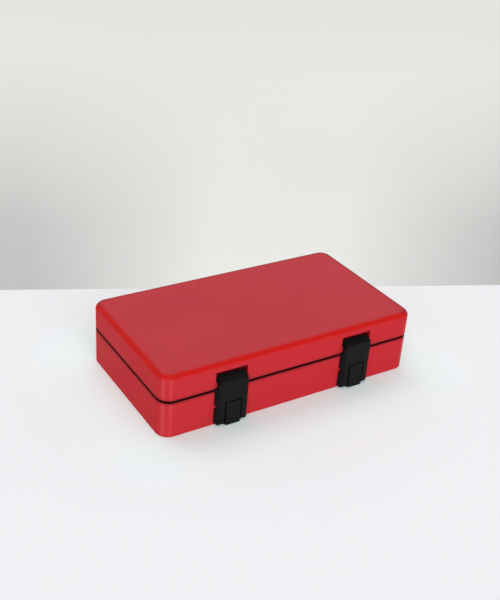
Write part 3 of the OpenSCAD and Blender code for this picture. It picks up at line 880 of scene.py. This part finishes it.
def lathed_screw(name, head, shank, length, recess):
    """A countersunk screw along -Z, its head flush with z = 0; sizes in mm."""
    bm = bmesh.new()
    cone = (head - shank) / 2
    outline = [
        (head / 2 - RIM_BREAK, 0), (head / 2, -0.06), (shank / 2, -cone),
        (shank / 2, TIP_BREAK - length), (shank / 2 - TIP_BREAK, -length),
    ]
    angles = [math.tau * i / SIDES for i in range(SIDES)]
    rings = [
        [bm.verts.new((r * math.cos(angle), r * math.sin(angle), z)) for angle in angles]
        for r, z in outline
    ]
    for upper, lower in zip(rings, rings[1:]):
        for i in range(SIDES):
            after = (i + 1) % SIDES
            bm.faces.new((upper[i], lower[i], lower[after], upper[after]))
    bm.faces.new(list(reversed(rings[-1])))
    arm, half = head * 0.28, head * 0.06
    cross = []
    for quarter in range(4):
        turn = Matrix.Rotation(math.pi / 2 * quarter, 3, "Z")
        for corner in ((half, half), (arm, half), (arm, -half)):
            cross.append(turn @ Vector((corner[0], -corner[1], 0)))
    lip = [bm.verts.new(v) for v in cross]
    floor = [bm.verts.new((v.x * 0.7, v.y * 0.7, -recess)) for v in cross]
    count = len(cross)
    edges = [bm.edges.new((lip[i], lip[(i + 1) % count])) for i in range(count)]
    edges += [bm.edges.get((rings[0][i], rings[0][(i + 1) % SIDES])) for i in range(SIDES)]
    bmesh.ops.triangle_fill(bm, edges=edges, use_beauty=True)
    for i in range(count):
        bm.faces.new((lip[i], lip[(i + 1) % count], floor[(i + 1) % count], floor[i]))
    bm.faces.new(floor)
    bmesh.ops.scale(bm, vec=(MM, MM, MM), verts=bm.verts)
    bmesh.ops.recalc_face_normals(bm, faces=bm.faces)
    smooth_between_sharp(bm, math.radians(30))
    mesh = bpy.data.meshes.new(name)
    bm.to_mesh(mesh)
    bm.free()
    screw = bpy.data.objects.new(name, mesh)
    scene.collection.objects.link(screw)
    print(name, "faces:", len(mesh.polygons))
    return screw


# %% Screws in pairs: the tree
screw_tree, screw_in = new_tree("screws_in_pairs", [
    ("Screw", "Object"), ("Pair Distance", "Float"), ("Screw Distance", "Float"),
    ("Face", "Float"), ("Level", "Float"), ("Tilt", "Float"), ("Seed", "Int"),
    ("Finish", "Material"),
])


def two_points(distance):
    """Two points this far apart along X, with the origin between them."""
    span = distance.add("ShaderNodeCombineXYZ", {}, {"X": distance})
    start = distance.add("ShaderNodeCombineXYZ", {}, {"X": distance * -0.5})
    return distance.add(
        "GeometryNodeMeshLine", {"mode": "OFFSET"},
        {"Count": 2, "Start Location": start, "Offset": span},
    )


pairs = two_points(screw_in["Pair Distance"])
spots = pairs.add(
    "GeometryNodeInstanceOnPoints", {},
    {"Points": pairs, "Instance": two_points(screw_in["Screw Distance"])},
)
spots = spots.add("GeometryNodeRealizeInstances", {}, {"Geometry": spots})
screw_mesh = spots.add("GeometryNodeObjectInfo", {}, {"Object": screw_in["Screw"]}, 4)
turn = spots.add(
    "FunctionNodeRandomValue", {"data_type": "FLOAT"},
    {"Min_001": 0.0, "Max_001": math.pi / 2, "Seed": screw_in["Seed"]}, 1,
)
spin = turn.add("ShaderNodeCombineXYZ", {}, {"X": screw_in["Tilt"]})
screws = spots.add(
    "GeometryNodeInstanceOnPoints", {},
    {"Points": spots, "Instance": screw_mesh, "Rotation": spin},
)
own_turn = turn.add("ShaderNodeCombineXYZ", {}, {"Z": turn})
screws = screws.add(
    "GeometryNodeRotateInstances", {}, {"Instances": screws, "Rotation": own_turn}
)
shift = turn.add("ShaderNodeCombineXYZ", {}, {"Y": screw_in["Face"], "Z": screw_in["Level"]})
screws = screws.add("GeometryNodeTransform", {}, {"Geometry": screws, "Translation": shift})
close_tree(screw_tree, screws, screw_in["Finish"])
print("inputs of the screw tree:", ", ".join(screw_in))

# %% [markdown]
# ### Screws in their plates
# The plates already have their countersinks, and a screw has to sit in the middle of
# one. Its place could be read off a drawing, but here it is measured: the box of the
# construction's own screws gives the outermost head and the level, and the plate
# gives the middle of a pair.

# %% Screws in their plates
def set_screws(name, part, beside, screw, head, outwards, seed):
    """Screws for one part, measured from the part itself and from a plate it sits in."""
    low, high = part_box(part)
    plate_low, plate_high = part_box(beside)
    column = (plate_low.x + plate_high.x) / 2
    piece = grown(name, screw_tree, {
        "Screw": screw,
        "Pair Distance": 2 * column,
        "Screw Distance": 2 * (high.x - head / 2 * MM - column),
        "Face": high.y if outwards > 0 else low.y,
        "Level": (low.z + high.z) / 2,
        "Tilt": -outwards * math.pi / 2,
        "Seed": seed,
        "Finish": drawn_steel,
    })
    hand_over(piece, drawn_steel, part)


HINGE_HEAD, STRIKE_HEAD = 4.2, 3.0
hinge_screw = lathed_screw("hinge_screw", HINGE_HEAD, shank=2.2, length=5.0, recess=0.9)
strike_screw = lathed_screw("strike_screw", STRIKE_HEAD, shank=1.6, length=4.4, recess=0.6)
set_screws(
    "base_hinge_screws", "hinge_base_screws", "hinge_base_leaf_right",
    hinge_screw, HINGE_HEAD, outwards=1, seed=3,
)
set_screws(
    "lid_hinge_screws", "hinge_lid_screws", "hinge_lid_leaf_right",
    hinge_screw, HINGE_HEAD, outwards=1, seed=8,
)
set_screws(
    "catch_screws", "strike_screws", "strike_right",
    strike_screw, STRIKE_HEAD, outwards=-1, seed=5,
)
for pattern in (hinge_screw, strike_screw):
    bpy.data.objects.remove(pattern)

# %% [markdown]
# ## Pins
# The hinge, latch and trigger pins are plain lengths of drawn wire. Their shape in
# the construction is already the real one. A copy would be the same shape again, so
# they stay and only get their finish.

# %% Pins
for name, part in nodes.items():
    if "_pin_" in name:
        finish = drawn_steel if name.startswith("hinge") else blackened_steel
        part.data.materials.clear()
        part.data.materials.append(finish)
        print("pin:", name, finish.name)
